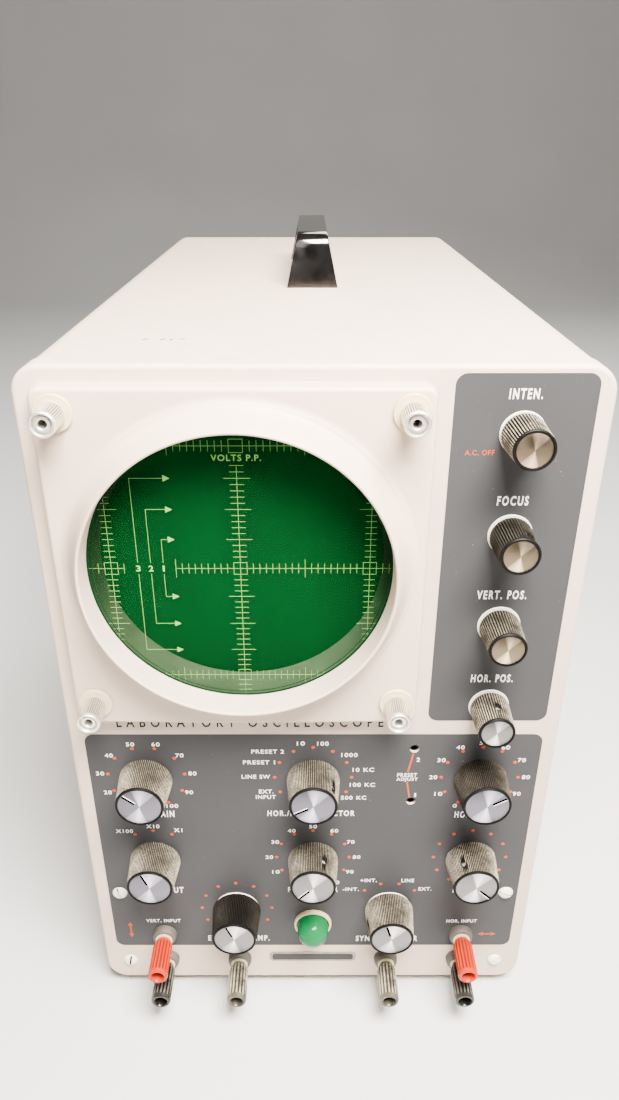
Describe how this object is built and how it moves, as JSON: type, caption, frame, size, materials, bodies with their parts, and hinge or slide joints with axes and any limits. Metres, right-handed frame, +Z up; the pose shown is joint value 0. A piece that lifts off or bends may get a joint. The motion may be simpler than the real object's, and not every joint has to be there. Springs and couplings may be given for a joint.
{
  "type": "oscilloscope",
  "caption": "Upright bench oscilloscope with a round green screen in a flared bezel, rotary controls with dot scales, binding posts, a pilot lamp and a strap carrying handle.",
  "frame": {"origin": "on the floor plane under the middle of the object's box", "axes": "+Z up, the front panel faces -Y, +X to the right seen from the front"},
  "size_m": [0.2222, 0.4404, 0.3665],
  "materials": {
    "light_paint": "satin",
    "dark_steel": "satin",
    "plated_steel": "satin",
    "bright_nickel": "bright",
    "chrome": "polished",
    "knob_black": "matte",
    "black_plastic": "gloss",
    "red_plastic": "gloss",
    "collar_grey": "matte",
    "green_filter": "gloss",
    "green_jewel": "gloss",
    "cream_ring": "satin",
    "clear_glass": "clear",
    "shield_metal": "satin",
    "board_brown": "matte",
    "core_black": "varnished",
    "aluminium_can": "satin",
    "rubber": "matte"
  },
  "bodies": {
    "case": {"cabinet_shell": "light_paint", "front_panel": "light_paint", "crt_bezel": "light_paint", "rear_panel": "light_paint", "graticule": "green_filter", "cathode_ray_tube": "clear_glass", "crt_shield": "shield_metal", "crt_socket": "knob_black", "pilot_holder": "cream_ring", "pilot_jewel": "green_jewel", "pilot_bulb": "clear_glass", "screw_left_middle": "plated_steel", "screw_right_middle": "plated_steel", "screw_left_bottom": "plated_steel", "screw_right_bottom": "plated_steel", "carrying_handle": "chrome", "foot_front_left": "rubber", "foot_front_right": "rubber", "foot_rear_left": "rubber", "foot_rear_right": "rubber", "cord_gland": "rubber", "upper_control_bracket": "plated_steel", "lower_control_bracket": "plated_steel", "chassis_deck": "dark_steel", "circuit_board": "board_brown", "power_transformer": "core_black", "filter_capacitor": "aluminium_can", "valve_vertical": "clear_glass", "valve_sweep": "clear_glass", "valve_sync": "clear_glass", "post_vertical_signal": "collar_grey", "post_vertical_ground": "collar_grey", "post_sync": "collar_grey", "post_test_signal": "collar_grey", "post_horizontal_signal": "collar_grey", "post_horizontal_ground": "collar_grey"},
    "knob_intensity": {"knob_intensity": "knob_black"},
    "knob_focus": {"knob_focus": "knob_black"},
    "knob_vertical_position": {"knob_vertical_position": "knob_black"},
    "knob_horizontal_position": {"knob_horizontal_position": "knob_black"},
    "knob_vertical_gain": {"knob_vertical_gain": "knob_black"},
    "knob_frequency_selector": {"knob_frequency_selector": "knob_black"},
    "knob_horizontal_gain": {"knob_horizontal_gain": "knob_black"},
    "knob_input_attenuator": {"knob_input_attenuator": "knob_black"},
    "knob_frequency_vernier": {"knob_frequency_vernier": "knob_black"},
    "knob_phase": {"knob_phase": "knob_black"},
    "knob_sync_amplitude": {"knob_sync_amplitude": "knob_black"},
    "knob_sync_selector": {"knob_sync_selector": "knob_black"},
    "cap_vertical_signal": {"cap_vertical_signal": "red_plastic"},
    "cap_vertical_ground": {"cap_vertical_ground": "black_plastic"},
    "cap_sync": {"cap_sync": "black_plastic"},
    "cap_test_signal": {"cap_test_signal": "black_plastic"},
    "cap_horizontal_signal": {"cap_horizontal_signal": "red_plastic"},
    "cap_horizontal_ground": {"cap_horizontal_ground": "black_plastic"},
    "thumb_nut_top_left": {"thumb_nut_top_left": "bright_nickel"},
    "thumb_nut_top_right": {"thumb_nut_top_right": "bright_nickel"},
    "thumb_nut_bottom_left": {"thumb_nut_bottom_left": "bright_nickel"},
    "thumb_nut_bottom_right": {"thumb_nut_bottom_right": "bright_nickel"},
    "preset_shaft_1": {"preset_shaft_1": "bright_nickel"},
    "preset_shaft_2": {"preset_shaft_2": "bright_nickel"}
  },
  "joints": [
    {"name": "intensity_turn", "type": "hinge", "parent": "case", "child": "knob_intensity", "pos_m": [0.077, -0.19475, 0.3139], "axis": [0, 1, 0], "range_deg": [-150, 150]},
    {"name": "focus_turn", "type": "hinge", "parent": "case", "child": "knob_focus", "pos_m": [0.077, -0.19475, 0.2721], "axis": [0, 1, 0], "range_deg": [-150, 150]},
    {"name": "vertical_position_turn", "type": "hinge", "parent": "case", "child": "knob_vertical_position", "pos_m": [0.077, -0.19475, 0.2303], "axis": [0, 1, 0], "range_deg": [-150, 150]},
    {"name": "horizontal_position_turn", "type": "hinge", "parent": "case", "child": "knob_horizontal_position", "pos_m": [0.077, -0.19475, 0.1885], "axis": [0, 1, 0], "range_deg": [-150, 150]},
    {"name": "vertical_gain_turn", "type": "hinge", "parent": "case", "child": "knob_vertical_gain", "pos_m": [-0.077, -0.19475, 0.1474], "axis": [0, 1, 0], "range_deg": [-100.5, 199.5]},
    {"name": "frequency_selector_turn", "type": "hinge", "parent": "case", "child": "knob_frequency_selector", "pos_m": [0, -0.19475, 0.1474], "axis": [0, 1, 0], "range_deg": [0, 240]},
    {"name": "horizontal_gain_turn", "type": "hinge", "parent": "case", "child": "knob_horizontal_gain", "pos_m": [0.077, -0.19475, 0.1474], "axis": [0, 1, 0], "range_deg": [-209.6, 90.4]},
    {"name": "input_attenuator_turn", "type": "hinge", "parent": "case", "child": "knob_input_attenuator", "pos_m": [-0.077, -0.19475, 0.096], "axis": [0, 1, 0], "range_deg": [0, 60]},
    {"name": "frequency_vernier_turn", "type": "hinge", "parent": "case", "child": "knob_frequency_vernier", "pos_m": [0, -0.19475, 0.096], "axis": [0, 1, 0], "range_deg": [-13.7, 286.3]},
    {"name": "phase_turn", "type": "hinge", "parent": "case", "child": "knob_phase", "pos_m": [0.077, -0.19475, 0.096], "axis": [0, 1, 0], "range_deg": [-283.6, 16.4]},
    {"name": "sync_amplitude_turn", "type": "hinge", "parent": "case", "child": "knob_sync_amplitude", "pos_m": [-0.0387, -0.19475, 0.06], "axis": [0, 1, 0], "range_deg": [-127.6, 172.4]},
    {"name": "sync_selector_turn", "type": "hinge", "parent": "case", "child": "knob_sync_selector", "pos_m": [0.0387, -0.19475, 0.06], "axis": [0, 1, 0], "range_deg": [-30, 60]},
    {"name": "vertical_signal_cap_slide", "type": "slide", "parent": "case", "child": "cap_vertical_signal", "axis": [0, -1, 0], "range_m": [0, 0.004]},
    {"name": "vertical_ground_cap_slide", "type": "slide", "parent": "case", "child": "cap_vertical_ground", "axis": [0, -1, 0], "range_m": [0, 0.004]},
    {"name": "sync_cap_slide", "type": "slide", "parent": "case", "child": "cap_sync", "axis": [0, -1, 0], "range_m": [0, 0.004]},
    {"name": "test_signal_cap_slide", "type": "slide", "parent": "case", "child": "cap_test_signal", "axis": [0, -1, 0], "range_m": [0, 0.004]},
    {"name": "horizontal_signal_cap_slide", "type": "slide", "parent": "case", "child": "cap_horizontal_signal", "axis": [0, -1, 0], "range_m": [0, 0.004]},
    {"name": "horizontal_ground_cap_slide", "type": "slide", "parent": "case", "child": "cap_horizontal_ground", "axis": [0, -1, 0], "range_m": [0, 0.004]},
    {"name": "thumb_nut_top_left_turn", "type": "hinge", "parent": "case", "child": "thumb_nut_top_left", "pos_m": [-0.0928, -0.19475, 0.3242], "axis": [0, 1, 0], "range_deg": [0, 360]},
    {"name": "thumb_nut_top_right_turn", "type": "hinge", "parent": "case", "child": "thumb_nut_top_right", "pos_m": [0.0352, -0.19475, 0.3242], "axis": [0, 1, 0], "range_deg": [0, 360]},
    {"name": "thumb_nut_bottom_left_turn", "type": "hinge", "parent": "case", "child": "thumb_nut_bottom_left", "pos_m": [-0.0928, -0.19475, 0.1962], "axis": [0, 1, 0], "range_deg": [0, 360]},
    {"name": "thumb_nut_bottom_right_turn", "type": "hinge", "parent": "case", "child": "thumb_nut_bottom_right", "pos_m": [0.0352, -0.19475, 0.1962], "axis": [0, 1, 0], "range_deg": [0, 360]},
    {"name": "preset_shaft_1_turn", "type": "hinge", "parent": "case", "child": "preset_shaft_1", "pos_m": [0.046, -0.19475, 0.1326], "axis": [0, 1, 0], "range_deg": [-150, 150]},
    {"name": "preset_shaft_2_turn", "type": "hinge", "parent": "case", "child": "preset_shaft_2", "pos_m": [0.046, -0.19475, 0.1642], "axis": [0, 1, 0], "range_deg": [-150, 150]}
  ]
}
